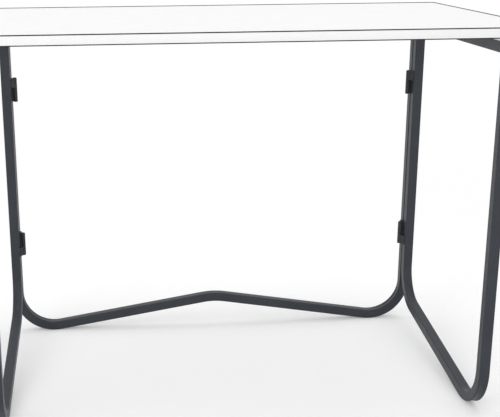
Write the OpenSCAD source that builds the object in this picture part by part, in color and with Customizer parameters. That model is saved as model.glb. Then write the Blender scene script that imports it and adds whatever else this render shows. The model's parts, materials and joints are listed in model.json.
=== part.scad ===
// Folding study table: a loose white top on a base of three hinged tube frames.
// Millimetres. The origin is on the floor under the middle of the top.
// +X runs to the right, +Y to the back and +Z up.

/* [Top] */
// Length of the top, left to right
top_l = 1000; // [800:10:1300]
// Depth of the top, front to back
top_d = 620; // [540:10:800]
// Reach of the top past the legs' outer faces at the left and the right
side_overhang = 40; // [25:1:80]
// Reach of the top past the base at the front and the rear
end_overhang = 38; // [25:1:80]
// Thickness of the board
board_t = 16; // [15:1:30]
// Thickness of the white sheet on each face of the board
sheet_t = 0.8; // [0.5:0.1:1.5]
// Thickness of the white band round the board's edge
band_t = 2; // [1:0.5:4]
// Height of the dark bead that caps the band along each arris
bead_h = 1.8; // [1:0.1:3]
// Depth at which the bead is let into the band
bead_sink = 0.6; // [0.2:0.1:0.8]

/* [Base frames] */
// Height of the top of the base above the floor
base_h = 700; // [620:5:760]
// Width of the square tube
tube_w = 20; // [18:1:25]
// Wall of the square tube
tube_wall = 1.5; // [1:0.1:1.8]
// Outer corner radius of the tube's section
tube_r = 2; // [2:0.5:4]
// Centreline radius of the bends at the lower corners
bend_r = 80; // [60:5:100]
// Centreline radius of the shallow bend in the middle of the rear rail
crown_r = 160; // [80:10:300]
// Height of the rear rail's centreline where its two halves would cross
crown_h = 69; // [50:1:85]
// Height at which a side rail's centreline would cross its rear leg's
heel_h = 67; // [50:1:85]
// Depth of the hollow that the press leaves in both walls of a corner bend
press_d = 1.5; // [0.5:0.1:2]
// Width of the wall that is left flat along each side of that hollow
press_margin = 3; // [2:0.5:5]
// Gap between the rear legs and the side frames
fold_gap = 4; // [2:0.5:8]

/* [Hinges] */
// Height of the middle of the upper hinges
upper_hinge_z = 560; // [450:5:620]
// Height of the middle of the lower hinges
lower_hinge_z = 212; // [190:1:300]
// Distance of the pin's axis from the legs' inner faces
pin_reach = 7.5; // [7:0.5:12]
// Diameter of the hinge pin
pin_d = 5; // [4:0.5:6]
// Radial running clearance of the pin in its knuckles
pin_clear = 0.05; // [0.03:0.01:0.09]
// Outer diameter of the knuckles
knuckle_d = 9; // [8.5:0.5:12]
// Length of the knuckle that is welded to the rear leg
fixed_l = 29; // [20:1:40]
// Length of the knuckle that is welded to the side frame
swing_l = 20; // [15:1:40]
// Thickness of the washer between the knuckles
washer_t = 1; // [0.5:0.1:2]
// Running gap along the pin at each end of the swinging knuckle
end_gap = 0.2; // [0.1:0.05:0.5]
// Thickness of a leaf's welded tab
tab_t = 3; // [2:0.5:4]
// Width of a leaf's welded tab
tab_w = 13; // [10:1:13]
// Diameter of the heads of the pin
pin_head_d = 8; // [7:0.5:8.5]
// Height of the heads of the pin
pin_head_h = 1.2; // [0.8:0.1:2]

/* [Leg plugs] */
// Thickness of a plug's cap
cap_t = 2; // [1:0.5:4]
// Length of a plug's stem inside the leg
stem_l = 14; // [10:1:25]
// Width of a plug's stem
stem_w = 11; // [8:1:12]
// Number of grip fins on a stem
fins = 3; // [2:1:5]
// Thickness of a grip fin
fin_t = 1.5; // [1:0.1:2]
// Clearance between a fin and the wall of the leg
fin_clear = 0.1; // [0.05:0.05:0.3]

/* [Strips under the top] */
// Thickness of the bearing strips between the base and the board
strip_t = 12; // [8:1:20]
// Width of the locating strips and front stops
locator_w = 10; // [8:1:14]
// Reach of the locating strips and front stops below the top of the base
locator_drop = 10; // [5:1:14]
// Clearance between a locating strip and the frame beside it
locator_clear = 1; // [0.5:0.1:2]
// Clearance between a front stop and the leg behind it
stop_clear = 1.5; // [1.5:0.1:3]
// Length of the two side locating strips
side_locator_l = 400; // [300:10:440]
// Length of the rear locating strip
rear_locator_l = 600; // [400:10:800]
// Length of a front stop
stop_l = 40; // [34:1:60]

/* [Screws] */
// Diameter of a screw's shank
screw_d = 3.5; // [3:0.5:4]
// Diameter of a screw's countersunk head
screw_head_d = 7; // [6:0.5:8]
// Radial clearance round a screw
screw_clear = 0.1; // [0.05:0.05:0.3]
// Depth of a screw's head below the face of its strip
screw_sink = 0.5; // [0.2:0.1:1]
// Reach of a screw into the board
screw_bite = 10; // [8:1:12]
// Distance from the end of a strip to its first screw
screw_inset = 30; // [20:5:60]
// Distance from the end of a front stop to its screw
stop_screw_inset = 9; // [7:1:12]

/* [Hidden] */
$fn = 64;
// Screws in a bearing strip, in a locating strip and in a front stop
bearing_screws = 4;
locator_screws = 3;
stop_screws = 2;
// Length of a bend's run into a straight, and the thinning of its wall
bend_lap = 0.5;
bend_draw = 0.03;
// Length of the rear rail's straight that stays with a leg past its bend
leg_run = 2;
// Share of a bend that is pressed in, and overrun of the former, in degrees
press_share = 0.9;
press_spare = 2;
// Place along the tab where its web starts, and depth of the web in the knuckle,
// as shares of the tab's width and the knuckle's radius
web_start = 0.55;
web_reach = 0.65;
// Drill depth past the point of a screw, and overshoot of a cut past a face
drill_spare = 1;
cut = 1;
// Length of a screw's point
screw_tip = 3;

// Heights
rail_z = base_h - tube_w / 2;
leg_top = base_h - cap_t;
board_z = base_h + strip_t;
top_z = board_z + board_t;
bend_z = bend_r + tube_w / 2;

// Distances between the centres of the rear legs, of the two legs beside a hinge,
// and of the two legs of a side frame
leg_span = top_l - 2 * side_overhang - tube_w;
leg_step = tube_w + fold_gap;
side_d = top_d - 2 * end_overhang - tube_w - leg_step;

// Places of the legs' centres
leg_x = leg_span / 2;
rear_y = (side_d + leg_step) / 2;
heel_y = rear_y - leg_step;
toe_y = heel_y - side_d;

// Slope of a rail that leaves a corner bend and aims at a point
// that lies a across from the bend's centre and b below it
function rail_slope(a, b) = asin(bend_r / norm([a, b])) - atan2(b, a);
crown_slope = rail_slope(leg_x - bend_r, bend_z - crown_h);
heel_slope = rail_slope(side_d - bend_r, bend_z - heel_h);
heel_bend_z = heel_h + bend_r * tan((90 - heel_slope) / 2);

// Place of the left pins; the right ones are mirrored
pin_x = -leg_x + tube_w / 2 + pin_reach;
pin_y = rear_y - leg_step / 2;
hinge_l = fixed_l + washer_t + end_gap + swing_l;
washer_z = fixed_l - hinge_l / 2;
swing_z = washer_z + washer_t + end_gap;

// Extents of the strips
side_mid_y = (heel_y + toe_y) / 2;
side_bearing_l = side_d + tube_w;
rear_bearing_l = leg_span + tube_w;
locator_z = base_h - locator_drop;
side_locator_x = leg_x + tube_w / 2 + locator_clear + locator_w / 2;
rear_locator_y = rear_y + tube_w / 2 + locator_clear + locator_w / 2;
stop_y = toe_y - tube_w / 2 - stop_clear - locator_w / 2;

// Evenly spaced places along a strip of length l, centred on 0
function places(l, n, inset) = [for (i = [0:n - 1]) (i / (n - 1) - 0.5) * (l - 2 * inset)];
bearing_screw_at = concat(
    [for (s = [-1, 1], y = places(side_bearing_l, bearing_screws, screw_inset)) [s * leg_x, side_mid_y + y]],
    [for (x = places(rear_bearing_l, bearing_screws, screw_inset)) [x, rear_y]]
);
locator_screw_at = concat(
    [for (s = [-1, 1], y = places(side_locator_l, locator_screws, screw_inset)) [s * side_locator_x, side_mid_y + y]],
    [for (x = places(rear_locator_l, locator_screws, screw_inset)) [x, rear_locator_y]],
    [for (s = [-1, 1], x = places(stop_l, stop_screws, stop_screw_inset)) [s * leg_x + x, stop_y]]
);

steel = "#4a4c50";
dark_plastic = "#2c2d2f";
white_finish = "#f2f2f0";
chipboard = "#c8a878";
bright_steel = "#a9abad";
nylon = "#d8d8d2";

// Rectangle l by w with corners of radius r, centred
module round_rect(l, w, r) {
    square([l - 2 * r, w], center = true);
    square([l, w - 2 * r], center = true);
    for (x = [-1, 1], y = [-1, 1])
        translate([x * (l / 2 - r), y * (w / 2 - r)]) circle(r);
}

module round_square(w, r) {
    round_rect(w, w, r);
}

// Section of the tube. Where it is bent, its wall is thinned by draw on each face,
// and the walls that are pressed in come closer together by inset each
module tube_section(draw = 0, inset = 0) {
    bore = tube_w - 2 * tube_wall + 2 * draw;
    difference() {
        round_square(tube_w - 2 * draw, tube_r - draw);
        round_rect(bore - 2 * inset, bore, tube_r - tube_wall + draw);
    }
}

// Straight tube from point a to point b of the drawing plane
module straight(a, b) {
    run = b - a;
    translate([a[0], a[1], 0])
        rotate([0, 90, atan2(run[1], run[0])])
            linear_extrude(norm(run)) tube_section();
}

// Tube bent to radius r about point c, from one angle through a sweep,
// run a little way into the straights at both ends
module bend(c, r, from, sweep, inset = 0) {
    lap = bend_lap / r * 180 / PI;
    translate([c[0], c[1], 0])
        rotate(from - lap)
            rotate_extrude(angle = sweep + 2 * lap) translate([r, 0]) tube_section(bend_draw, inset);
}

// The round former that presses a wall of a bend in, deepest halfway round it:
// side is -1 for the wall towards the bend's centre and 1 for the outer wall
module former(c, r, from, sweep, side) {
    half = sweep / 2 * press_share;
    shift = press_d / (1 - cos(half));
    former_r = (pow(tube_w / 2 - press_margin, 2) + press_d * press_d) / (2 * press_d);
    middle = from + sweep / 2;
    translate([c[0] - side * shift * cos(middle), c[1] - side * shift * sin(middle), 0])
        rotate(middle - half - press_spare)
            rotate_extrude(angle = 2 * (half + press_spare))
                translate([r + side * (tube_w / 2 - press_d + shift + former_r), 0]) circle(former_r);
}

// Tight bend whose inner and outer walls are pressed in
module pressed_bend(c, r, from, sweep) {
    difference() {
        bend(c, r, from, sweep, press_d);
        for (side = [-1, 1]) former(c, r, from, sweep, side);
    }
}

// The drawing plane stood up, facing front or facing the side
module facing_front(y) {
    translate([0, y, 0]) rotate([90, 0, 0]) children();
}

module facing_side(x) {
    translate([x, 0, 0]) rotate([90, 0, 90]) children();
}

// Lower corner that touches the floor, under a leg at across = leg_at
module corner_bend(leg_at, slope) {
    straight([leg_at, leg_top], [leg_at, bend_z]);
    pressed_bend([leg_at + bend_r, bend_z], bend_r, 180, 90 + slope);
}

function corner_exit(leg_at, slope) =
    [leg_at + bend_r + bend_r * sin(slope), bend_z - bend_r * cos(slope)];

// Rear frame: one bent tube, in three nodes that meet in full section past its corner bends
crown_exit = corner_exit(-leg_x, crown_slope);
rail_start = crown_exit + leg_run * [cos(crown_slope), sin(crown_slope)];

// Rear leg with its corner bend, on the left (side = -1) or the right (side = 1)
module rear_leg_tube(side) {
    color(steel) mirror([side > 0 ? 1 : 0, 0, 0]) facing_front(rear_y) {
        corner_bend(-leg_x, crown_slope);
        straight(crown_exit, rail_start);
    }
}

// Lower rail of the rear frame, rising to a shallow crown
module rear_lower_rail() {
    crown_run = crown_r * tan(crown_slope);
    crown_start = [-crown_run * cos(crown_slope), crown_h - crown_run * sin(crown_slope)];
    color(steel) facing_front(rear_y) {
        for (turn = [0, 1]) mirror([turn, 0, 0]) straight(rail_start, crown_start);
        bend([0, crown_h - crown_r / cos(crown_slope)], crown_r, 90 - crown_slope, 2 * crown_slope);
    }
}

// Side frame: one tube whose lower rail climbs from the front corner to the heel bend
module side_frame_tube(x) {
    heel_c = [heel_y - bend_r, heel_bend_z];
    color(steel) facing_side(x) {
        corner_bend(toe_y, heel_slope);
        straight(corner_exit(toe_y, heel_slope), heel_c + bend_r * [sin(heel_slope), -cos(heel_slope)]);
        pressed_bend(heel_c, bend_r, 270 + heel_slope, 90 - heel_slope);
        straight([heel_y, heel_bend_z], [heel_y, leg_top]);
    }
}

// Top rail of a frame, welded between the legs at a and b
module top_rail(a, b) {
    color(steel) straight([a + tube_w / 2, rail_z], [b - tube_w / 2, rail_z]);
}

// Plug that closes the top of a leg: a cap on a stem with grip fins
module leg_plug(x, y) {
    bore_w = tube_w - 2 * tube_wall - 2 * fin_clear;
    fin_step = (stem_l - fin_t) / (fins - 1);
    color(dark_plastic) translate([x, y, leg_top]) {
        linear_extrude(cap_t) round_square(tube_w, tube_r);
        translate([0, 0, -stem_l]) linear_extrude(stem_l) square(stem_w, center = true);
        for (i = [0:fins - 1])
            translate([0, 0, -stem_l + i * fin_step])
                linear_extrude(fin_t) round_square(bore_w, tube_r - tube_wall);
    }
}

// Puts a hinge part, drawn round the left upper pin, at its own hinge
module at_hinge(side, level) {
    mirror([side == "right" ? 1 : 0, 0, 0])
        translate([pin_x, pin_y, level == "upper" ? upper_hinge_z : lower_hinge_z])
            mirror([0, 0, level == "upper" ? 0 : 1])
                children();
}

// Leaf of a given length: a bored knuckle, and a web to a tab on a leg's inner face
module leaf(length) {
    web_end = knuckle_d / 2 * web_reach;
    tab_from = fold_gap / 2 + tube_r;
    tab_to = tab_from + tab_w;
    difference() {
        union() {
            cylinder(d = knuckle_d, h = length);
            linear_extrude(length) polygon([
                [-pin_reach, tab_from],
                [-pin_reach, tab_to],
                [-pin_reach + tab_t, tab_to],
                [-pin_reach + tab_t, tab_from + tab_w * web_start],
                [web_end, web_end],
                [-web_end, 0]
            ]);
        }
        translate([0, 0, -cut]) cylinder(d = pin_d + 2 * pin_clear, h = length + 2 * cut);
    }
}

// Leaf that is welded to the rear leg
module fixed_leaf(side, level) {
    color(dark_plastic) at_hinge(side, level)
        translate([0, 0, -hinge_l / 2]) leaf(fixed_l);
}

// Leaf that is welded to the side frame and turns with it
module swing_leaf(side, level) {
    color(dark_plastic) at_hinge(side, level)
        translate([0, 0, swing_z]) mirror([0, 1, 0]) leaf(swing_l);
}

// Riveted pin, its lower head seated on the fixed knuckle
module hinge_pin(side, level) {
    head_low = -hinge_l / 2 - pin_head_h;
    head_high = hinge_l / 2 + end_gap;
    color(bright_steel) at_hinge(side, level) {
        translate([0, 0, head_low]) cylinder(d = pin_d, h = head_high - head_low + pin_head_h);
        for (z = [head_low, head_high])
            translate([0, 0, z]) cylinder(d = pin_head_d, h = pin_head_h);
    }
}

module hinge_washer(side, level) {
    color(nylon) at_hinge(side, level)
        translate([0, 0, washer_z]) difference() {
            cylinder(d = knuckle_d, h = washer_t);
            translate([0, 0, -cut]) cylinder(d = pin_d + 4 * pin_clear, h = washer_t + 2 * cut);
        }
}

// Countersunk screw, pointing up from the face at z to its bite in the board
module screw_shape(z, room) {
    head_h = (screw_head_d - screw_d) / 2;
    point_z = board_z + screw_bite;
    translate([0, 0, z + screw_sink]) rotate_extrude() polygon([
        [0, 0],
        [screw_head_d / 2 + room, 0],
        [screw_d / 2 + room, head_h],
        [screw_d / 2 + room, point_z - z - screw_sink - screw_tip + room],
        [0, point_z - z - screw_sink + room]
    ]);
}

// Countersunk holes through a strip whose lower face is at z
module screw_holes(places_xy, z) {
    for (p = places_xy) translate([p[0], p[1], 0]) {
        screw_shape(z, screw_clear);
        translate([0, 0, z - cut])
            cylinder(d = screw_head_d + 2 * screw_clear, h = screw_sink + cut);
    }
}

// Pilot holes up into the board
module pilot_holes() {
    for (p = concat(bearing_screw_at, locator_screw_at))
        translate([p[0], p[1], board_z - cut])
            cylinder(d = screw_d + 2 * screw_clear, h = screw_bite + drill_spare + cut);
}

// Board centred on the origin in plan, from height z
module slab(l, d, z, h) {
    translate([-l / 2, -d / 2, z]) cube([l, d, h]);
}

module board_core() {
    color(chipboard) difference() {
        slab(top_l - 2 * band_t, top_d - 2 * band_t, board_z + sheet_t, board_t - 2 * sheet_t);
        pilot_holes();
    }
}

module top_sheet() {
    color(white_finish) slab(top_l - 2 * band_t, top_d - 2 * band_t, top_z - sheet_t, sheet_t);
}

module under_sheet() {
    color(white_finish) difference() {
        slab(top_l - 2 * band_t, top_d - 2 * band_t, board_z, sheet_t);
        pilot_holes();
    }
}

// Band along the front (side = -1) or the rear (side = 1)
module long_band(side) {
    color(white_finish)
        translate([-top_l / 2, side * (top_d - band_t) / 2 - band_t / 2, board_z + bead_sink])
            cube([top_l, band_t, board_t - 2 * bead_sink]);
}

// Band along the left (side = -1) or the right (side = 1), between the long bands
module short_band(side) {
    color(white_finish)
        translate([side * (top_l - band_t) / 2 - band_t / 2, -top_d / 2 + band_t, board_z + bead_sink])
            cube([band_t, top_d - 2 * band_t, board_t - 2 * bead_sink]);
}

// Bead all round an arris, from height z
module edge_bead(z) {
    color(dark_plastic) difference() {
        slab(top_l, top_d, z, bead_h);
        slab(top_l - 2 * band_t, top_d - 2 * band_t, z - cut, bead_h + 2 * cut);
    }
}

// Strip centred at x, y in plan, standing from z up to the board, with its screw holes
module strip(x, y, l, w, z, screws) {
    color(white_finish) difference() {
        translate([x - l / 2, y - w / 2, z]) cube([l, w, board_z - z]);
        screw_holes(screws, z);
    }
}

module side_bearing_strip(side) {
    strip(side * leg_x, side_mid_y, tube_w, side_bearing_l, base_h, bearing_screw_at);
}

module rear_bearing_strip() {
    strip(0, rear_y, rear_bearing_l, tube_w, base_h, bearing_screw_at);
}

module side_locating_strip(side) {
    strip(side * side_locator_x, side_mid_y, locator_w, side_locator_l, locator_z, locator_screw_at);
}

module rear_locating_strip() {
    strip(0, rear_locator_y, rear_locator_l, locator_w, locator_z, locator_screw_at);
}

module front_stop(side) {
    strip(side * leg_x, stop_y, stop_l, locator_w, locator_z, locator_screw_at);
}

module screws(places_xy, z) {
    color(bright_steel) for (p = places_xy) translate([p[0], p[1], 0]) screw_shape(z, 0);
}

rear_leg_tube(-1);  // rear_left_leg_tube
rear_leg_tube(1);  // rear_right_leg_tube
rear_lower_rail();
facing_front(rear_y) top_rail(-leg_x, leg_x);  // rear_top_rail
leg_plug(-leg_x, rear_y);  // rear_left_leg_plug
leg_plug(leg_x, rear_y);  // rear_right_leg_plug

side_frame_tube(-leg_x);  // left_frame_tube
facing_side(-leg_x) top_rail(toe_y, heel_y);  // left_top_rail
leg_plug(-leg_x, heel_y);  // left_rear_leg_plug
leg_plug(-leg_x, toe_y);  // left_front_leg_plug

side_frame_tube(leg_x);  // right_frame_tube
facing_side(leg_x) top_rail(toe_y, heel_y);  // right_top_rail
leg_plug(leg_x, heel_y);  // right_rear_leg_plug
leg_plug(leg_x, toe_y);  // right_front_leg_plug

fixed_leaf("left", "upper");  // left_upper_fixed_leaf
swing_leaf("left", "upper");  // left_upper_swing_leaf
hinge_pin("left", "upper");  // left_upper_hinge_pin
hinge_washer("left", "upper");  // left_upper_hinge_washer

fixed_leaf("left", "lower");  // left_lower_fixed_leaf
swing_leaf("left", "lower");  // left_lower_swing_leaf
hinge_pin("left", "lower");  // left_lower_hinge_pin
hinge_washer("left", "lower");  // left_lower_hinge_washer

fixed_leaf("right", "upper");  // right_upper_fixed_leaf
swing_leaf("right", "upper");  // right_upper_swing_leaf
hinge_pin("right", "upper");  // right_upper_hinge_pin
hinge_washer("right", "upper");  // right_upper_hinge_washer

fixed_leaf("right", "lower");  // right_lower_fixed_leaf
swing_leaf("right", "lower");  // right_lower_swing_leaf
hinge_pin("right", "lower");  // right_lower_hinge_pin
hinge_washer("right", "lower");  // right_lower_hinge_washer

board_core();
top_sheet();
under_sheet();
long_band(-1);  // front_edge_band
long_band(1);  // rear_edge_band
short_band(-1);  // left_edge_band
short_band(1);  // right_edge_band
edge_bead(top_z - bead_sink);  // top_edge_bead
edge_bead(board_z + bead_sink - bead_h);  // under_edge_bead

side_bearing_strip(-1);  // left_bearing_strip
side_bearing_strip(1);  // right_bearing_strip
rear_bearing_strip();
side_locating_strip(-1);  // left_locating_strip
side_locating_strip(1);  // right_locating_strip
rear_locating_strip();
front_stop(-1);  // left_front_stop
front_stop(1);  // right_front_stop
screws(bearing_screw_at, base_h);  // bearing_strip_screws
screws(locator_screw_at, locator_z);  // locating_strip_screws
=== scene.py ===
"""Folding study table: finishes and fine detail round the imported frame.

Metres. The origin is on the floor under the middle of the top; +X right, +Y back, +Z up.
"""
import json
import math

import bmesh
import bpy
from mathutils import Matrix, Vector


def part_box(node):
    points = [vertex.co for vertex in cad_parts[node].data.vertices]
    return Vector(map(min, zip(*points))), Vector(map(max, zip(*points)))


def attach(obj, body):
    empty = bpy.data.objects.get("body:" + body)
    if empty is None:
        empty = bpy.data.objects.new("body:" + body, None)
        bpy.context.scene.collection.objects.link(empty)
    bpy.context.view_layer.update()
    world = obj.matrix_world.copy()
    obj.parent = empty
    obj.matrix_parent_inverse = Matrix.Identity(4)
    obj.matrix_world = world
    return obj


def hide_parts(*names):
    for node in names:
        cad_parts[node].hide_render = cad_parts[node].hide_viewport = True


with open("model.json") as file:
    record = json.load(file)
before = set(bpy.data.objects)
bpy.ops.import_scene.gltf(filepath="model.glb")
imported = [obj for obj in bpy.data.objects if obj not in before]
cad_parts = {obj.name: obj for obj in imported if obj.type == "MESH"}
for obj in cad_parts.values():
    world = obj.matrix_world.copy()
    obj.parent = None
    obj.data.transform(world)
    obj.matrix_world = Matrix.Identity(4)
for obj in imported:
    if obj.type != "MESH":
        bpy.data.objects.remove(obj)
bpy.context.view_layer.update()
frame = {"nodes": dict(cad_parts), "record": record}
parts = frame["nodes"]


# Materials. Scales are in grains per metre, depths in metres.

TONE_STOPS = (0.3, 0.7)     # places on a noise where the dark tone ends and the light one starts

POWDER_CLOUD = 9            # cloudiness of the colour
POWDER_MOTTLE = 60          # patches of more and less gloss
POWDER_GLOSS_SWAY = 0.05    # change of roughness to either side of its mean
POWDER_SPECULAR = 0.27
PEEL_STRENGTH = 0.55
PEEL_DEPTH = 0.00016

PLASTIC_CLOUD = 25
PLASTIC_MOTTLE = 1 / 8      # patches of gloss, as a share of the grain's scale
PLASTIC_GLOSS_SWAY = 0.04
PLASTIC_STRENGTH = 0.3

STEEL_TONE = 300
STEEL_GLOSS = 500
STEEL_LINES = 900
STEEL_TONE_ROUGHNESS = 0.6
STEEL_GLOSS_SWAY = 0.06
STEEL_STRENGTH = 0.2
STEEL_DEPTH = 0.00003

CHIP_SCALE = 280
CHIP_STRETCH = (1.0, 0.5, 3.0)      # chips are long along Y and flat
CHIP_TONES = ((0.1, (0.62, 0.45, 0.25)), (0.8, (0.33, 0.21, 0.11)))
CHIP_ROUGHNESS = 0.85
CHIP_STRENGTH = 0.5
CHIP_DEPTH = 0.0003


def empty_tree(owner, output):
    """The node tree of a material or a world, cleared but for its output node."""
    owner.use_nodes = True
    tree = owner.node_tree
    tree.nodes.clear()
    return tree, tree.nodes.new(output)


def new_material(name):
    """An empty node material with its shader and a texture coordinate node."""
    mat = bpy.data.materials.new(name)
    tree, out = empty_tree(mat, "ShaderNodeOutputMaterial")
    shader = tree.nodes.new("ShaderNodeBsdfPrincipled")
    tree.links.new(shader.outputs["BSDF"], out.inputs["Surface"])
    coord = tree.nodes.new("ShaderNodeTexCoord")
    return mat, tree, shader, coord


def stretched(tree, coord, stretch):
    """Object coordinates scaled along each axis."""
    mapping = tree.nodes.new("ShaderNodeMapping")
    mapping.inputs["Scale"].default_value = stretch
    tree.links.new(coord.outputs["Object"], mapping.inputs["Vector"])
    return mapping.outputs["Vector"]


def noise(tree, coord, scale, detail=3.0, roughness=0.5, stretch=None):
    """Noise on object coordinates, stretched along an axis if asked."""
    place = stretched(tree, coord, stretch) if stretch else coord.outputs["Object"]
    node = tree.nodes.new("ShaderNodeTexNoise")
    node.inputs["Scale"].default_value = scale
    node.inputs["Detail"].default_value = detail
    node.inputs["Roughness"].default_value = roughness
    tree.links.new(place, node.inputs["Vector"])
    return node.outputs["Fac"]


def tint(tree, shader, value, stops):
    """Base colour that runs through colours at places along a value."""
    node = tree.nodes.new("ShaderNodeValToRGB")
    band = node.color_ramp
    while len(band.elements) < len(stops):
        band.elements.new(0.5)
    for element, (place, color) in zip(band.elements, stops):
        element.position = place
        element.color = (*color, 1.0)
    tree.links.new(value, node.inputs["Fac"])
    tree.links.new(node.outputs["Color"], shader.inputs["Base Color"])


def vary_gloss(tree, shader, value, rough, sway):
    """Roughness that sways to either side of its mean with a 0..1 value."""
    node = tree.nodes.new("ShaderNodeMapRange")
    node.inputs["To Min"].default_value = rough - sway
    node.inputs["To Max"].default_value = rough + sway
    tree.links.new(value, node.inputs["Value"])
    tree.links.new(node.outputs["Result"], shader.inputs["Roughness"])


def add_bump(tree, shader, height, strength, depth):
    """Relief of a real depth."""
    node = tree.nodes.new("ShaderNodeBump")
    node.inputs["Strength"].default_value = strength
    node.inputs["Distance"].default_value = depth
    tree.links.new(height, node.inputs["Height"])
    tree.links.new(node.outputs["Normal"], shader.inputs["Normal"])


def powder_coat(name, dark, light, rough, grain=1100):
    """Powder coat: fine orange peel, and a faint cloudiness in the colour and the gloss."""
    mat, tree, shader, coord = new_material(name)
    tint(tree, shader, noise(tree, coord, POWDER_CLOUD, 2), list(zip(TONE_STOPS, (dark, light))))
    vary_gloss(tree, shader, noise(tree, coord, POWDER_MOTTLE, 2), rough, POWDER_GLOSS_SWAY)
    shader.inputs["Metallic"].default_value = 0.0
    shader.inputs["Specular IOR Level"].default_value = POWDER_SPECULAR
    add_bump(tree, shader, noise(tree, coord, grain, 2), PEEL_STRENGTH, PEEL_DEPTH)
    return mat


def moulded_plastic(name, dark, light, rough, grain, depth=0.00005, specular=0.5):
    """Moulded or extruded plastic with a fine spark-eroded grain."""
    mat, tree, shader, coord = new_material(name)
    tint(tree, shader, noise(tree, coord, PLASTIC_CLOUD, 3), list(zip(TONE_STOPS, (dark, light))))
    vary_gloss(tree, shader, noise(tree, coord, grain * PLASTIC_MOTTLE, 2), rough, PLASTIC_GLOSS_SWAY)
    shader.inputs["Specular IOR Level"].default_value = specular
    add_bump(tree, shader, noise(tree, coord, grain, 2), PLASTIC_STRENGTH, depth)
    return mat


def metal(name, dark, light, rough, stretch):
    """Bare or plated steel with drawn lines."""
    mat, tree, shader, coord = new_material(name)
    tone = noise(tree, coord, STEEL_TONE, 3, STEEL_TONE_ROUGHNESS, stretch)
    tint(tree, shader, tone, list(zip(TONE_STOPS, (dark, light))))
    gloss = noise(tree, coord, STEEL_GLOSS, 2, stretch=stretch)
    vary_gloss(tree, shader, gloss, rough, STEEL_GLOSS_SWAY)
    shader.inputs["Metallic"].default_value = 1.0
    lines = noise(tree, coord, STEEL_LINES, 2, stretch=stretch)
    add_bump(tree, shader, lines, STEEL_STRENGTH, STEEL_DEPTH)
    return mat


def chipboard(name):
    """Pressed wood chips in resin."""
    mat, tree, shader, coord = new_material(name)
    chips = tree.nodes.new("ShaderNodeTexVoronoi")
    chips.inputs["Scale"].default_value = CHIP_SCALE
    tree.links.new(stretched(tree, coord, CHIP_STRETCH), chips.inputs["Vector"])
    tint(tree, shader, chips.outputs["Distance"], CHIP_TONES)
    shader.inputs["Roughness"].default_value = CHIP_ROUGHNESS
    add_bump(tree, shader, chips.outputs["Distance"], CHIP_STRENGTH, CHIP_DEPTH)
    return mat


finishes = {
    "frame_paint": powder_coat(
        "frame_powder_coat", (0.030, 0.034, 0.042), (0.039, 0.044, 0.053), rough=0.45),
    "hinge_paint": powder_coat(
        "hinge_powder_coat", (0.028, 0.031, 0.035), (0.037, 0.040, 0.045), rough=0.48, grain=1500),
    "pin_steel": metal(
        "blackened_steel", (0.07, 0.07, 0.075), (0.12, 0.12, 0.125), rough=0.4, stretch=(1, 1, 0.05)),
    "washer_nylon": moulded_plastic(
        "dark_nylon", (0.03, 0.03, 0.034), (0.045, 0.045, 0.05), rough=0.5, grain=1500),
    "plug_plastic": moulded_plastic(
        "plug_plastic", (0.025, 0.025, 0.028), (0.034, 0.034, 0.037), rough=0.55, grain=1800),
    "chipboard": chipboard("core_chipboard"),
    "white_laminate": moulded_plastic(
        "white_laminate", (0.895, 0.895, 0.895), (0.915, 0.915, 0.915),
        rough=0.42, grain=2200, depth=0.00008, specular=0.35),
    "white_edging": moulded_plastic(
        "white_edging", (0.89, 0.89, 0.89), (0.91, 0.91, 0.91), rough=0.38, grain=1600, depth=0.00003),
    "dark_bead": moulded_plastic(
        "dark_bead", (0.013, 0.013, 0.014), (0.020, 0.020, 0.021),
        rough=0.58, grain=1400, depth=0.00003, specular=0.25),
    "white_strip": moulded_plastic(
        "white_strip", (0.84, 0.84, 0.83), (0.88, 0.88, 0.87), rough=0.5, grain=1200),
    "screw_zinc": metal(
        "zinc_plate", (0.52, 0.53, 0.55), (0.68, 0.68, 0.70), rough=0.3, stretch=(1, 1, 0.2)),
}
slot_of = {s["node"]: s["material_slot"] for s in frame["record"]["subparts"]}
for name, part in parts.items():
    part.data.materials.clear()
    part.data.materials.append(finishes[slot_of[name]])


# Modelling steps

SAME_LENGTH = 0.00001       # lengths closer than this are the same
ONE_POINT = 0.000002        # vertices closer than this are merged
ONE_FACE = 0.5              # neighbouring faces that differ by less, in degrees, are merged
SHARP_ANGLE = 35            # an edge that turns more than this, in degrees, is sharp


def begin(name, add, **how):
    """A primitive at its size and place, in edit mode and selected all over."""
    bpy.ops.object.select_all(action="DESELECT")
    add(**how)
    piece = bpy.context.object
    piece.name = name
    bpy.ops.object.mode_set(mode="EDIT")
    return piece


def copy_of_node(name, node):
    """A copy of a CAD node with its loose triangles merged into plain faces, in edit mode."""
    bpy.ops.object.select_all(action="DESELECT")
    piece = bpy.data.objects.new(name, parts[node].data.copy())
    bpy.context.scene.collection.objects.link(piece)
    piece.select_set(True)
    bpy.context.view_layer.objects.active = piece
    bpy.ops.mesh.customdata_custom_splitnormals_clear()
    bpy.ops.object.mode_set(mode="EDIT")
    bpy.ops.mesh.select_all(action="SELECT")
    bpy.ops.mesh.remove_doubles(threshold=ONE_POINT)
    bpy.ops.mesh.dissolve_limited(angle_limit=math.radians(ONE_FACE))
    return piece


def pick(kind, test):
    """Select only the verts, edges or faces that pass a test."""
    bpy.ops.mesh.select_mode(type=kind.upper()[:-1])
    bpy.ops.mesh.select_all(action="DESELECT")
    mesh = bpy.context.object.data
    shape = bmesh.from_edit_mesh(mesh)
    for item in getattr(shape, kind):
        if test(item):
            item.select_set(True)
    shape.select_flush_mode()
    bmesh.update_edit_mesh(mesh)


def same(a, b):
    """Whether two lengths agree to a hundredth of a millimetre."""
    return abs(a - b) < SAME_LENGTH


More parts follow.
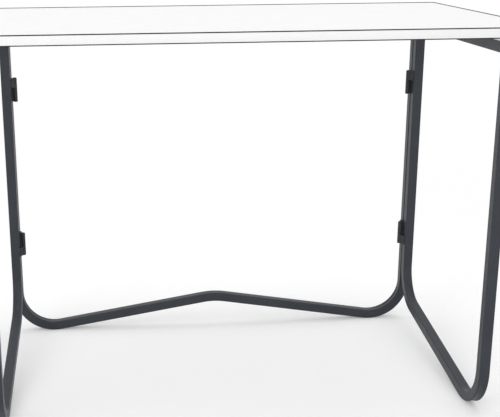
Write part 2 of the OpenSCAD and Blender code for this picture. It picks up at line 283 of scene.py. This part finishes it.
def grow(step, size=1.0, centre=(0, 0, 0)):
    """Extrude what is selected by a step, then scale its new end about a centre."""
    bpy.ops.mesh.extrude_region_move(TRANSFORM_OT_translate={"value": step})
    if size != 1.0:
        bpy.ops.transform.resize(value=(size, size, size), center_override=centre)


def grow_rings(start, rings, place=(0, 0, 0)):
    """Grow what is selected upwards from one (height, radius) ring through the others."""
    height, radius = start
    for next_height, next_radius in rings:
        centre = (place[0], place[1], place[2] + next_height)
        grow((0, 0, next_height - height), next_radius / radius, centre)
        height, radius = next_height, next_radius


def close(piece):
    """Leave edit mode with the shell facing outwards."""
    bpy.ops.mesh.select_all(action="SELECT")
    bpy.ops.mesh.normals_make_consistent(inside=False)
    bpy.ops.object.mode_set(mode="OBJECT")
    return piece


def turned(name, place, sides, profile):
    """A turned piece: a disc grown upwards through its (height, radius) rings."""
    height, radius = profile[0]
    piece = begin(name, bpy.ops.mesh.primitive_circle_add, vertices=sides, radius=radius,
                  fill_type="NGON", location=(place[0], place[1], place[2] + height))
    grow_rings(profile[0], profile[1:], place)
    return close(piece)


def copy_piece(master, name, place, turn=(0, 0, 0), size=(1, 1, 1)):
    """Another of a piece that is modelled once, with a mesh of its own."""
    piece = master.copy()
    piece.data = master.data.copy()
    piece.name = name
    piece.location = place
    piece.rotation_euler = turn
    piece.scale = size
    bpy.context.scene.collection.objects.link(piece)
    return piece


def apply_place(pieces):
    """Select pieces alone, the first one active, and put their places into their meshes."""
    bpy.ops.object.select_all(action="DESELECT")
    for piece in pieces:
        piece.select_set(True)
    bpy.context.view_layer.objects.active = pieces[0]
    bpy.ops.object.transform_apply(location=True, rotation=True, scale=True)


def joined(name, pieces):
    """Several pieces made one."""
    apply_place(pieces)
    bpy.ops.object.join()
    pieces[0].name = name
    return pieces[0]


def settle(piece, body, slot, *nodes, smooth=SHARP_ANGLE):
    """Smooth a finished piece, and give it its finish, its body and the nodes that it stands for."""
    apply_place([piece])
    bpy.ops.object.shade_smooth_by_angle(angle=math.radians(smooth))
    piece.data.name = piece.name
    piece.data.materials.clear()
    piece.data.materials.append(finishes[slot])
    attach(piece, body)
    if nodes:
        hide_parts(*nodes)


def ease_sharp_edges(piece, width, segments=2):
    """Round every sharp edge of a piece in edit mode."""
    bpy.ops.mesh.select_mode(type="EDGE")
    bpy.ops.mesh.select_all(action="DESELECT")
    bpy.ops.mesh.edges_select_sharp(sharpness=math.radians(SHARP_ANGLE))
    bpy.ops.mesh.bevel(offset=width, segments=segments, affect="EDGES")
    return close(piece)


def ease_outer_edges(piece, node, width, segments=3):
    """Round the twelve outer edges of a block in edit mode, and leave its holes sharp."""
    low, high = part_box(node)

    def faces_shared(edge):
        """How many sides of the node's box the whole edge lies on."""
        return sum(all(same(v.co[i], c[i]) for v in edge.verts) for c in (low, high) for i in range(3))

    pick("edges", lambda e: faces_shared(e) >= 2)
    bpy.ops.mesh.bevel(offset=width, segments=segments, affect="EDGES", loop_slide=False)
    return close(piece)


# The top: beads with a rounded nose, and bands with eased edges

BEAD_NOSE = 0.0009      # radius of a bead's outer edge and of its four corners
BEAD_LIP = 0.00015      # radius of the inner edge of its nose
BAND_EASE = 0.00025     # easing of a band's edges, which leaves a hairline beside the beads


def edge_bead(node, root, nose):
    """Bead round the top: a ring grown from the height of its root to that of its nose."""
    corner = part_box(node)[1]
    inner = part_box("top_sheet")[1]
    reach = nose - root
    piece = begin(node + "_ring", bpy.ops.mesh.primitive_plane_add, size=2, location=(0, 0, root))
    bpy.ops.transform.resize(value=(corner[0], corner[1], 1), center_override=(0, 0, root))
    bpy.ops.mesh.inset(thickness=corner[0] - inner[0])
    bpy.ops.mesh.delete(type="FACE")
    bpy.ops.mesh.select_all(action="SELECT")
    grow((0, 0, reach))

    def runs_along(edge, limit):
        """Whether both ends lie on one side of a rectangle."""
        return any(all(same(abs(v.co[i]), limit[i]) for v in edge.verts) for i in (0, 1))

    def at_nose(edge):
        """Whether both ends are at the height of the nose, counted from the root."""
        return all(same(v.co.z, reach) for v in edge.verts)

    pick("edges", lambda e: at_nose(e) and runs_along(e, inner) and not runs_along(e, corner))
    bpy.ops.mesh.bevel(offset=BEAD_LIP, segments=2, affect="EDGES")
    pick("edges", lambda e: runs_along(e, corner) and
         (at_nose(e) or not same(e.verts[0].co.z, e.verts[1].co.z)))
    bpy.ops.mesh.bevel(offset=BEAD_NOSE, segments=4, affect="EDGES")
    settle(close(piece), "tabletop", "dark_bead", node)


def dress_top():
    """The two beads and the four bands."""
    low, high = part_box("top_edge_bead")
    edge_bead("top_edge_bead", low[2], high[2])
    low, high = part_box("under_edge_bead")
    edge_bead("under_edge_bead", high[2], low[2])
    for side in ("front", "rear", "left", "right"):
        node = side + "_edge_band"
        piece = copy_of_node(node + "_eased", node)
        settle(ease_outer_edges(piece, node, BAND_EASE, 2), "tabletop", "white_edging", node)


# Strips and stops under the top, and their screws

STRIP_EASE = 0.0008
SCREW_HEAD_R = 0.0035
SCREW_SHANK_R = 0.00175
SCREW_CORE_R = 0.0012
SCREW_RIM = 0.0003      # straight edge of the head
SCREW_CONE = 0.00175    # height of the countersunk part
SCREW_PLAIN = 0.004     # height at which the thread starts
SCREW_PITCH = 0.0012
SCREW_POINT = 0.003     # length of the point
THREAD_ROOT = (0.35, 0.75)      # start and end of the thread's root, as shares of the pitch
RECESS_W = 0.0036       # width of the cross in the head, three times that of its arms
RECESS_CELLS = 6        # cells along each side of the grid that the cross is picked from
RECESS_DEPTH = 0.0014
RECESS_TAPER = 0.6      # size of the recess at its bottom, as a share of its mouth
SCREW_TURN = 37         # degrees by which each screw is turned past the one before
SCREW_ROWS = (
    # pieces, screws in each, distance of the outer ones from its ends
    ("bearing_strip", 4, 0.030),
    ("locating_strip", 3, 0.030),
    ("front_stop", 2, 0.009),
)


def cross_screw(length):
    """Countersunk screw with a cross recess: its head at the origin, its point up."""
    piece = begin("cross_screw", bpy.ops.mesh.primitive_grid_add, x_subdivisions=RECESS_CELLS,
                  y_subdivisions=RECESS_CELLS, size=RECESS_W)
    arm = RECESS_W / RECESS_CELLS

    def in_cross(face):
        """Whether a cell lies in one of the two bars of the cross."""
        x, y, z = face.calc_center_median()
        return max(abs(x), abs(y)) < RECESS_W / 2 and min(abs(x), abs(y)) < arm

    pick("faces", in_cross)
    bpy.ops.mesh.extrude_region_move(TRANSFORM_OT_translate={"value": (0, 0, RECESS_DEPTH)})
    bpy.ops.transform.resize(value=(RECESS_TAPER, RECESS_TAPER, 1), center_override=(0, 0, RECESS_DEPTH))

    pick("edges", lambda e: e.is_boundary)
    bpy.ops.mesh.extrude_region_move()
    bpy.ops.transform.tosphere(value=1.0)
    rim = bmesh.from_edit_mesh(piece.data)
    widen = SCREW_HEAD_R / max(v.co.length for v in rim.verts if v.select)
    bpy.ops.transform.resize(value=(widen, widen, widen), center_override=(0, 0, 0))

    thread_end = length - SCREW_POINT
    profile = [(SCREW_RIM, SCREW_HEAD_R), (SCREW_RIM + SCREW_CONE, SCREW_SHANK_R),
               (SCREW_PLAIN, SCREW_SHANK_R)]
    turns = int((thread_end - SCREW_PLAIN) / SCREW_PITCH)
    for k in range(turns):
        z = SCREW_PLAIN + k * SCREW_PITCH
        profile += [(z + share * SCREW_PITCH, SCREW_CORE_R) for share in THREAD_ROOT]
        profile.append((z + SCREW_PITCH, SCREW_SHANK_R))
    profile.append((thread_end, SCREW_CORE_R))
    grow_rings((0, SCREW_HEAD_R), profile)
    grow((0, 0, length - thread_end))
    bpy.ops.mesh.merge(type="CENTER")
    return close(piece)


def screw_places():
    """Places of the screws in plan, for each node of screws."""
    found = {"bearing_strip_screws": [], "locating_strip_screws": []}
    for strip, count, inset in SCREW_ROWS:
        for side in ("left", "right", "rear"):
            node = side + "_" + strip
            if node not in parts:
                continue
            low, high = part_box(node)
            x, y = (low[0] + high[0]) / 2, (low[1] + high[1]) / 2
            along_x = high[0] - low[0] > high[1] - low[1]
            first = (low[0] if along_x else low[1]) + inset
            last = (high[0] if along_x else high[1]) - inset
            group = "bearing_strip_screws" if strip == "bearing_strip" else "locating_strip_screws"
            for k in range(count):
                at = first + (last - first) * k / (count - 1)
                found[group].append((at, y) if along_x else (x, at))
    return found


def dress_strips():
    """The strips and stops with eased edges, and a screw in each of their holes."""
    for node in parts:
        if node.endswith("_strip") or node.endswith("_stop"):
            piece = copy_of_node(node + "_eased", node)
            settle(ease_outer_edges(piece, node, STRIP_EASE), "tabletop", "white_strip", node)
    for node, places in screw_places().items():
        low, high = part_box(node)
        master = cross_screw(high[2] - low[2])
        for k, (x, y) in enumerate(places):
            turn = (0, 0, math.radians(SCREW_TURN * k))
            screw = copy_piece(master, f"{node[:-1]}_{k + 1:02d}", (x, y, low[2]), turn)
            settle(screw, "tabletop", "screw_zinc", node)
        bpy.data.objects.remove(master)


# Hinges: leaves and washers with eased edges, and riveted pins with domed heads

LEAF_EASE = 0.0003
BLOCK_LAP = 0.0018      # reach of a web's block past the middle of the gap between the legs
BLOCK_REACH = 0.0041    # distance of its far sides from the pin's axis, inside the knuckle and the web
BLOCK_SHORT = 0.00002   # its ends stay this far inside those of the leaf
BLOCK_EASE = 0.0001
WASHER_EASE = 0.00015
PIN_R = 0.0025
PIN_HEAD_H = 0.0012
PIN_SIDES = 28
PIN_DOME = (
    # share of the head's height, share of its radius
    (0, 0.4),
    (0.1, 0.62),
    (0.28, 0.82),
    (0.55, 0.96),
    (0.8, 1),
    (1, 1),
)


def riveted_pin(node):
    """Pin with a dome at each end, grown from its lower head to its upper one."""
    low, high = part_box(node)
    place = ((low[0] + high[0]) / 2, (low[1] + high[1]) / 2, low[2])
    head_r = (high[0] - low[0]) / 2
    length = high[2] - low[2]
    lower = [(share * PIN_HEAD_H, size * head_r) for share, size in PIN_DOME]
    upper = [(length - height, radius) for height, radius in reversed(lower)]
    shank = [(PIN_HEAD_H, PIN_R), (length - PIN_HEAD_H, PIN_R)]
    return turned(node + "_riveted", place, PIN_SIDES, lower + shank + upper)


def web_block(node, pin):
    """Block that closes the hollow between a leaf's web and its knuckle.

    Without it, light shows through beside the washer.
    """
    low, high = (Vector(c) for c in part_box(node))
    axis = sum((Vector(c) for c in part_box(pin)), Vector()) / 2
    leg_face = low.x if low.x < 0 else high.x
    toward = -1 if "fixed" in node else 1
    ends_x = (leg_face, axis.x + math.copysign(BLOCK_REACH, leg_face))
    ends_y = (axis.y + toward * BLOCK_LAP, axis.y - toward * BLOCK_REACH)
    base = low.z + BLOCK_SHORT
    middle = (sum(ends_x) / 2, sum(ends_y) / 2, base)
    size = (abs(ends_x[0] - ends_x[1]), abs(ends_y[0] - ends_y[1]), 1)
    piece = begin(node + "_block", bpy.ops.mesh.primitive_plane_add, size=1, location=middle)
    bpy.ops.transform.resize(value=size, center_override=middle)
    grow((0, 0, high.z - BLOCK_SHORT - base))
    return ease_sharp_edges(piece, BLOCK_EASE, 1)


def dress_hinges():
    """For each of the four hinges: two leaves, a washer and a pin."""
    for side in ("left", "right"):
        for level in ("upper", "lower"):
            stem = side + "_" + level
            for leaf, body in (("fixed", "rear_frame"), ("swing", side + "_frame")):
                node = f"{stem}_{leaf}_leaf"
                block = web_block(node, stem + "_hinge_pin")
                piece = ease_sharp_edges(copy_of_node(node + "_eased", node), LEAF_EASE)
                settle(joined(node + "_eased", [piece, block]), body, "hinge_paint", node)
            node = stem + "_hinge_washer"
            piece = copy_of_node(node + "_eased", node)
            settle(ease_sharp_edges(piece, WASHER_EASE, 1), "rear_frame", "washer_nylon", node)
            node = stem + "_hinge_pin"
            settle(riveted_pin(node), "rear_frame", "pin_steel", node)


# Welds under the powder coat

RIPPLE = 0.0013         # length of one ripple
RIPPLE_SWAY = 0.06      # change of a ripple's size to either side, as a share
RIPPLE_BEAT = 2.3       # step of that change from one ripple to the next, in radians
RIPPLE_CREST = 0.35     # place of the crest along a ripple, as a share of its length
RIPPLE_TROUGH = 0.9     # place of the trough
TROUGH_SIZE = 0.84      # radius in a trough, as a share of that at the crest
END_RIPPLE = 0.8        # size of the first and the last ripple
RUN_START = 0.35        # radius of the run where it starts, as a share
RUN_STOP = 0.3          # and where it stops
RUN_SIDES = 12
FILLET_R = 0.0020       # reach of a fillet along each face
LEAF_FILLET_R = 0.0017
SEAM_RISE = 0.3         # rise of a flat seam as a share of its half width
TUBE_CORNER = 0.0022    # a run stops this far inside a tube's edges
WELD_SMOOTH = 60        # degrees, so that the ripples shade softly
LIE_X = (0, math.radians(90), 0)    # turns that lay an upright run along X or Y, or leave it standing
LIE_Y = (math.radians(-90), 0, 0)
STAND = (0, 0, 0)


def weld_run(length, radius):
    """One run of weld, up from the origin: ripple over ripple, small where it starts and stops."""
    count = round(length / RIPPLE)
    rings = []
    for k in range(count):
        swell = 1 + RIPPLE_SWAY * math.sin(RIPPLE_BEAT * k)
        if k in (0, count - 1):
            swell *= END_RIPPLE
        rings.append(((k + RIPPLE_CREST) / count * length, swell * radius))
        rings.append(((k + RIPPLE_TROUGH) / count * length, TROUGH_SIZE * swell * radius))
    rings = [(0, RUN_START * radius)] + rings + [(length, RUN_STOP * radius)]
    return turned("weld_run", (0, 0, 0), RUN_SIDES, rings)


def rail_welds(rail, body):
    """At each end of a top rail: a fillet under it, and a flat seam on each side of it."""
    low, high = (Vector(c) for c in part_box(rail))
    i = 0 if high.x - low.x > high.y - low.y else 1
    across = 1 - i
    lie_across = LIE_Y if i == 0 else LIE_X
    length = high[across] - low[across] - 2 * TUBE_CORNER
    master = weld_run(length, FILLET_R)
    flat = [1, 1, 1]
    flat[across] = SEAM_RISE
    for end, name in ((low, "start"), (high, "end")):
        under = Vector((0, 0, low.z))
        under[i] = end[i]
        under[across] = low[across] + TUBE_CORNER
        runs = [copy_piece(master, "run", under, lie_across)]
        for face in (low, high):
            beside = Vector((0, 0, low.z + TUBE_CORNER))
            beside[i] = end[i]
            beside[across] = face[across]
            runs.append(copy_piece(master, "run", beside, STAND, flat))
        settle(joined(f"{rail}_{name}_weld", runs), body, "frame_paint", smooth=WELD_SMOOTH)
    bpy.data.objects.remove(master)


def leaf_weld(node, body):
    """Fillet along the outer edge of a leaf's tab."""
    low, high = (Vector(c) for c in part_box(node))
    face_x = low.x if "left" in node else high.x
    outer_y = high.y if "fixed" in node else low.y
    run = weld_run(high.z - low.z - 2 * LEAF_FILLET_R, LEAF_FILLET_R)
    run.name = node + "_weld"
    run.location = (face_x, outer_y, low.z + LEAF_FILLET_R)
    settle(run, body, "hinge_paint", smooth=WELD_SMOOTH)


def dress_welds():
    """The welds at the ends of the top rails and along the leaves' tabs."""
    rail_welds("rear_top_rail", "rear_frame")
    for side in ("left", "right"):
        body = side + "_frame"
        rail_welds(side + "_top_rail", body)
        for level in ("upper", "lower"):
            leaf_weld(f"{side}_{level}_fixed_leaf", "rear_frame")
            leaf_weld(f"{side}_{level}_swing_leaf", body)


dress_top()
dress_strips()
dress_hinges()
dress_welds()


# Floor, lights and camera

SEEN_RAYS = ("Is Camera Ray", "Is Glossy Ray", "Is Transmission Ray")
FLOOR_SIZE = 60
FLOOR_GREY = 0.86
FLOOR_LIFT = 0.20       # glow that the camera sees in the floor near the table
FADE_START = 0.9        # distance from the origin where the floor starts to fade to white
FADE_END = 2.6
AIR = 0.76              # even light from all round
AIM_HEIGHT = 0.4        # height over the origin at which the lamps point
LAMPS = (
    # name, place, width, watts
    ("window_left", (-2.8, -2.4, 1.9), 2.2, 26),
    ("front_fill", (0.6, -4.2, 0.9), 2.6, 26),
    ("overhead", (0.2, 0.5, 3.6), 2.6, 24),
)
PHOTO_W, PHOTO_H = 500, 417
SENSOR_W = 36           # millimetres


def seen_by_camera(tree):
    """1 for rays that the camera sends out or that reach it by mirror or glass, else 0."""
    path = tree.nodes.new("ShaderNodeLightPath")
    value = path.outputs[SEEN_RAYS[0]]
    for ray in SEEN_RAYS[1:]:
        either = tree.nodes.new("ShaderNodeMath")
        either.operation = "MAXIMUM"
        tree.links.new(value, either.inputs[0])
        tree.links.new(path.outputs[ray], either.inputs[1])
        value = either.outputs["Value"]
    return value


def floor_paper():
    """Pale paper that keeps the table's shadow and fades to white far behind it."""
    mat = bpy.data.materials.new("floor_paper")
    tree, out = empty_tree(mat, "ShaderNodeOutputMaterial")
    paper = tree.nodes.new("ShaderNodeBsdfDiffuse")
    paper.inputs["Color"].default_value = (FLOOR_GREY, FLOOR_GREY, FLOOR_GREY, 1)
    lift = tree.nodes.new("ShaderNodeEmission")
    lift.inputs["Strength"].default_value = FLOOR_LIFT
    near = tree.nodes.new("ShaderNodeAddShader")
    tree.links.new(paper.outputs["BSDF"], near.inputs[0])
    tree.links.new(lift.outputs["Emission"], near.inputs[1])
    white = tree.nodes.new("ShaderNodeEmission")
    coord = tree.nodes.new("ShaderNodeTexCoord")
    far = tree.nodes.new("ShaderNodeVectorMath")
    far.operation = "LENGTH"
    tree.links.new(coord.outputs["Object"], far.inputs[0])
    fade = tree.nodes.new("ShaderNodeMapRange")
    fade.interpolation_type = "SMOOTHSTEP"
    fade.inputs["From Min"].default_value = FADE_START
    fade.inputs["From Max"].default_value = FADE_END
    tree.links.new(far.outputs["Value"], fade.inputs["Value"])
    seen_floor = tree.nodes.new("ShaderNodeMixShader")
    tree.links.new(fade.outputs["Result"], seen_floor.inputs["Fac"])
    tree.links.new(near.outputs["Shader"], seen_floor.inputs[1])
    tree.links.new(white.outputs["Emission"], seen_floor.inputs[2])
    choice = tree.nodes.new("ShaderNodeMixShader")
    tree.links.new(seen_by_camera(tree), choice.inputs["Fac"])
    tree.links.new(paper.outputs["BSDF"], choice.inputs[1])
    tree.links.new(seen_floor.outputs["Shader"], choice.inputs[2])
    tree.links.new(choice.outputs["Shader"], out.inputs["Surface"])
    return mat


def studio():
    """The paper floor, the even light of the room and the lamps."""
    scene = bpy.context.scene
    scene.view_settings.view_transform = "Standard"
    bpy.ops.object.select_all(action="DESELECT")
    bpy.ops.mesh.primitive_plane_add(size=FLOOR_SIZE, location=(0, 0, 0))
    floor = bpy.context.object
    floor.name = "floor"
    floor.data.materials.append(floor_paper())

    scene.world = bpy.data.worlds.new("studio_air")
    tree, out = empty_tree(scene.world, "ShaderNodeOutputWorld")
    air = tree.nodes.new("ShaderNodeBackground")
    air.inputs["Color"].default_value = (1, 1, 1, 1)
    level = tree.nodes.new("ShaderNodeMapRange")
    level.inputs["To Min"].default_value = AIR
    level.inputs["To Max"].default_value = 1.0
    tree.links.new(seen_by_camera(tree), level.inputs["Value"])
    tree.links.new(level.outputs["Result"], air.inputs["Strength"])
    tree.links.new(air.outputs["Background"], out.inputs["Surface"])

    aim = Vector((0, 0, AIM_HEIGHT))
    for name, place, size, power in LAMPS:
        lamp = bpy.data.lights.new(name, "AREA")
        lamp.size = size
        lamp.energy = power
        rig = bpy.data.objects.new(name, lamp)
        rig.location = place
        rig.rotation_euler = (aim - Vector(place)).to_track_quat("-Z", "Y").to_euler()
        scene.collection.objects.link(rig)


def photo_camera():
    """The camera, solved from the straight edges of the tubes and the top."""
    yaw, pitch, roll = 0.0781, 0.2880, -0.0083
    focal_px, centre_x, centre_y = 1015.6, 183.0, 232.0
    place = Vector((-0.2446, -1.9625, 0.8855))
    ahead = Vector((math.sin(yaw) * math.cos(pitch), math.cos(yaw) * math.cos(pitch), -math.sin(pitch)))
    level = Vector((math.cos(yaw), -math.sin(yaw), 0))
    upward = level.cross(ahead)
    right = math.cos(roll) * level + math.sin(roll) * upward
    up = -math.sin(roll) * level + math.cos(roll) * upward
    lens = bpy.data.cameras.new("photo_camera")
    lens.sensor_fit = "HORIZONTAL"
    lens.sensor_width = SENSOR_W
    lens.lens = focal_px / PHOTO_W * SENSOR_W
    lens.shift_x = (PHOTO_W / 2 - centre_x) / PHOTO_W
    lens.shift_y = (centre_y - PHOTO_H / 2) / PHOTO_W
    lens.dof.use_dof = False
    camera = bpy.data.objects.new("photo_camera", lens)
    turn = Matrix((right, up, -ahead)).transposed()
    camera.matrix_world = Matrix.Translation(place) @ turn.to_4x4()
    bpy.context.scene.collection.objects.link(camera)
    bpy.context.scene.camera = camera


studio()
photo_camera()
